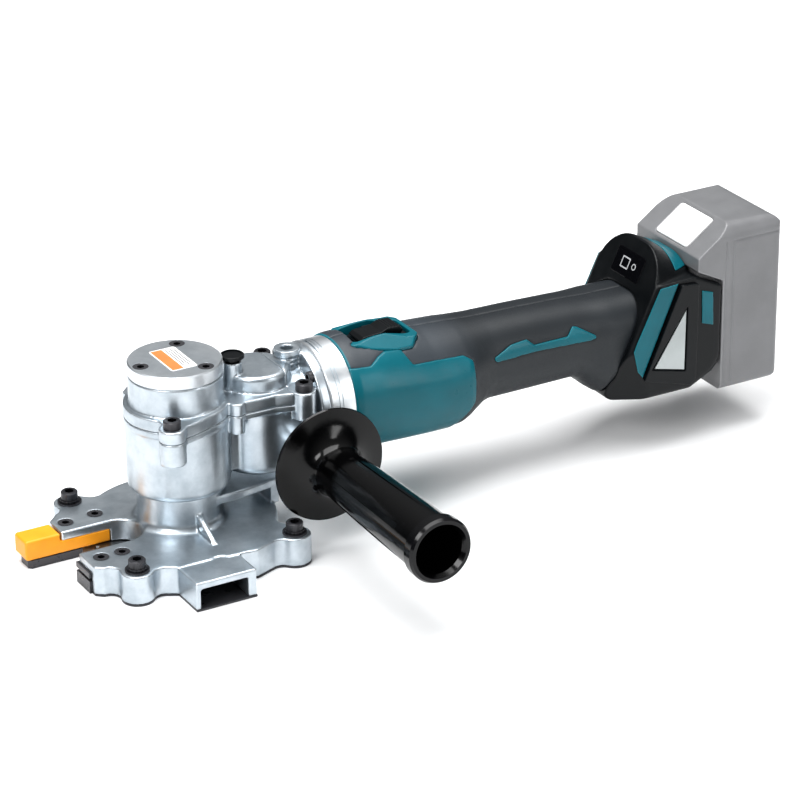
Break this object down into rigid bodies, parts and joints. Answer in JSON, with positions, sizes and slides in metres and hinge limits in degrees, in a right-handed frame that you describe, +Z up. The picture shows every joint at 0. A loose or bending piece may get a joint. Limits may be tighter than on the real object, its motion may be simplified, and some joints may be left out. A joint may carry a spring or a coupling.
{
  "type": "cordless rebar flush cutter",
  "caption": "Battery disc cutter with a slotted round base, vertical spindle head, in-line motor grip, slide switch and screwed side handle.",
  "frame": {"origin": "spindle axis on the underside of the bottom plate", "axes": "+X along the motor axis towards the battery, +Y away from the side handle, +Z up along the spindle"},
  "size_m": [0.5375, 0.2585, 0.15],
  "materials": {
    "cast_alloy": "satin die-cast, lightly blasted",
    "black_steel": "black oxide",
    "tool_steel": "ground",
    "saw_steel": "satin, dark",
    "orange_plastic": "moulded",
    "label_white": "printed label with a plain orange bar",
    "teal_plastic": "moulded, satin",
    "dark_grip": "fine textured overmould",
    "black_plastic": "moulded",
    "gloss_black": "polished",
    "battery_grey": "moulded",
    "button_white": "moulded",
    "insert_silver": "satin",
    "copper": "enamelled wire",
    "motor_iron": "laminated",
    "cell_wrap": "wrapped cells",
    "washer_rubber": "plain",
    "terminal_brass": "plated"
  },
  "bodies": {
    "tool_body": {"blade_case": "cast_alloy", "gear_case": "cast_alloy", "gear_case_cover": "cast_alloy", "top_cap": "cast_alloy", "motor_flange": "cast_alloy", "bottom_plate": "black_steel", "base_bolts": "black_steel", "base_washers": "black_steel", "lower_guide": "black_steel", "near_guide": "black_steel", "jaw_screws": "black_steel", "cap_screws": "black_steel", "case_bolts": "black_steel", "flange_screws": "black_steel", "spindle_bearings": "tool_steel", "idler_pin": "tool_steel", "counter_bearings": "tool_steel", "motor_bearings": "tool_steel", "lock_spring": "tool_steel", "bar_guide": "orange_plastic", "cap_label": "label_white", "side_panels": "teal_plastic", "grip_accents": "teal_plastic", "switch_frame": "teal_plastic", "rear_trim": "teal_plastic", "housing_left": "dark_grip", "housing_right": "dark_grip", "rear_housing": "black_plastic", "side_bumpers": "black_plastic", "indicator_panel": "black_plastic", "switch_unit": "black_plastic", "controller": "black_plastic", "power_leads": "black_plastic", "terminal_block": "black_plastic", "side_inserts": "insert_silver", "windings": "copper", "stator": "motor_iron", "terminals": "terminal_brass"},
    "spindle_unit": {"spindle": "tool_steel", "spindle_gear": "tool_steel", "saw_blade": "saw_steel", "blade_flanges": "tool_steel", "blade_bolt": "tool_steel"},
    "idler": {"idler_gear": "tool_steel"},
    "counter_unit": {"countershaft": "tool_steel", "counter_pinion": "tool_steel", "bevel_gear": "tool_steel"},
    "motor_unit": {"motor_shaft": "tool_steel", "bevel_pinion": "tool_steel", "rotor": "motor_iron", "fan": "black_plastic"},
    "lock": {"lock_button": "black_plastic"},
    "sled": {"switch_sled": "black_plastic"},
    "knob": {"switch_knob": "black_plastic"},
    "battery": {"battery_case": "battery_grey", "battery_cells": "cell_wrap"},
    "release": {"battery_button": "button_white"},
    "handle_carriage": {"handle_washer": "washer_rubber"},
    "side_handle": {"handle_grip": "gloss_black", "handle_stud": "tool_steel"}
  },
  "joints": [
    {"name": "spindle_spin", "type": "hinge", "parent": "tool_body", "child": "spindle_unit", "pos_m": [0, 0, 0.02], "axis": [0, 0, 1], "continuous": true},
    {"name": "idler_spin", "type": "hinge", "parent": "tool_body", "child": "idler", "pos_m": [0.0375, 0, 0.06], "axis": [0, 0, 1], "continuous": true},
    {"name": "counter_spin", "type": "hinge", "parent": "tool_body", "child": "counter_unit", "pos_m": [0.05625, 0, 0.06], "axis": [0, 0, 1], "continuous": true},
    {"name": "motor_spin", "type": "hinge", "parent": "tool_body", "child": "motor_unit", "pos_m": [0.12, 0, 0.081], "axis": [1, 0, 0], "continuous": true},
    {"name": "lock_press", "type": "slide", "parent": "tool_body", "child": "lock", "axis": [0, 0, -1], "range_m": [0, 0.0025], "stiffness_N_per_m": 800, "deforming": ["lock_spring"]},
    {"name": "switch_slide", "type": "slide", "parent": "tool_body", "child": "sled", "axis": [-1, 0, 0], "range_m": [0, 0.006], "stiffness_N_per_m": 300},
    {"name": "switch_tilt", "type": "hinge", "parent": "sled", "child": "knob", "pos_m": [0.143, 0, 0.1149], "axis": [0, 1, 0], "range_deg": [-2.5, 0], "stiffness_Nm_per_rad": 0.05},
    {"name": "battery_slide", "type": "slide", "parent": "tool_body", "child": "battery", "axis": [0, 0, 1], "range_m": [0, 0.09]},
    {"name": "battery_release", "type": "slide", "parent": "battery", "child": "release", "axis": [0.5827, 0, -0.8127], "range_m": [0, 0.003], "stiffness_N_per_m": 800},
    {"name": "handle_turn", "type": "hinge", "parent": "handle_carriage", "child": "side_handle", "pos_m": [0.079, -0.05, 0.059], "axis": [0, -1, 0], "range_deg": [0, 3600]},
    {"name": "handle_travel", "type": "slide", "parent": "tool_body", "child": "handle_carriage", "axis": [0, -1, 0], "range_m": [0, 0.0126]}
  ],
  "couplings": [
    {"joint": "idler_spin", "follows": "spindle_spin", "ratio": -3.2857},
    {"joint": "counter_spin", "follows": "spindle_spin", "ratio": 2.875},
    {"joint": "motor_spin", "follows": "spindle_spin", "ratio": -10.222},
    {"joint": "handle_travel", "follows": "handle_turn", "m_per_rad": 0.00019894}
  ]
}
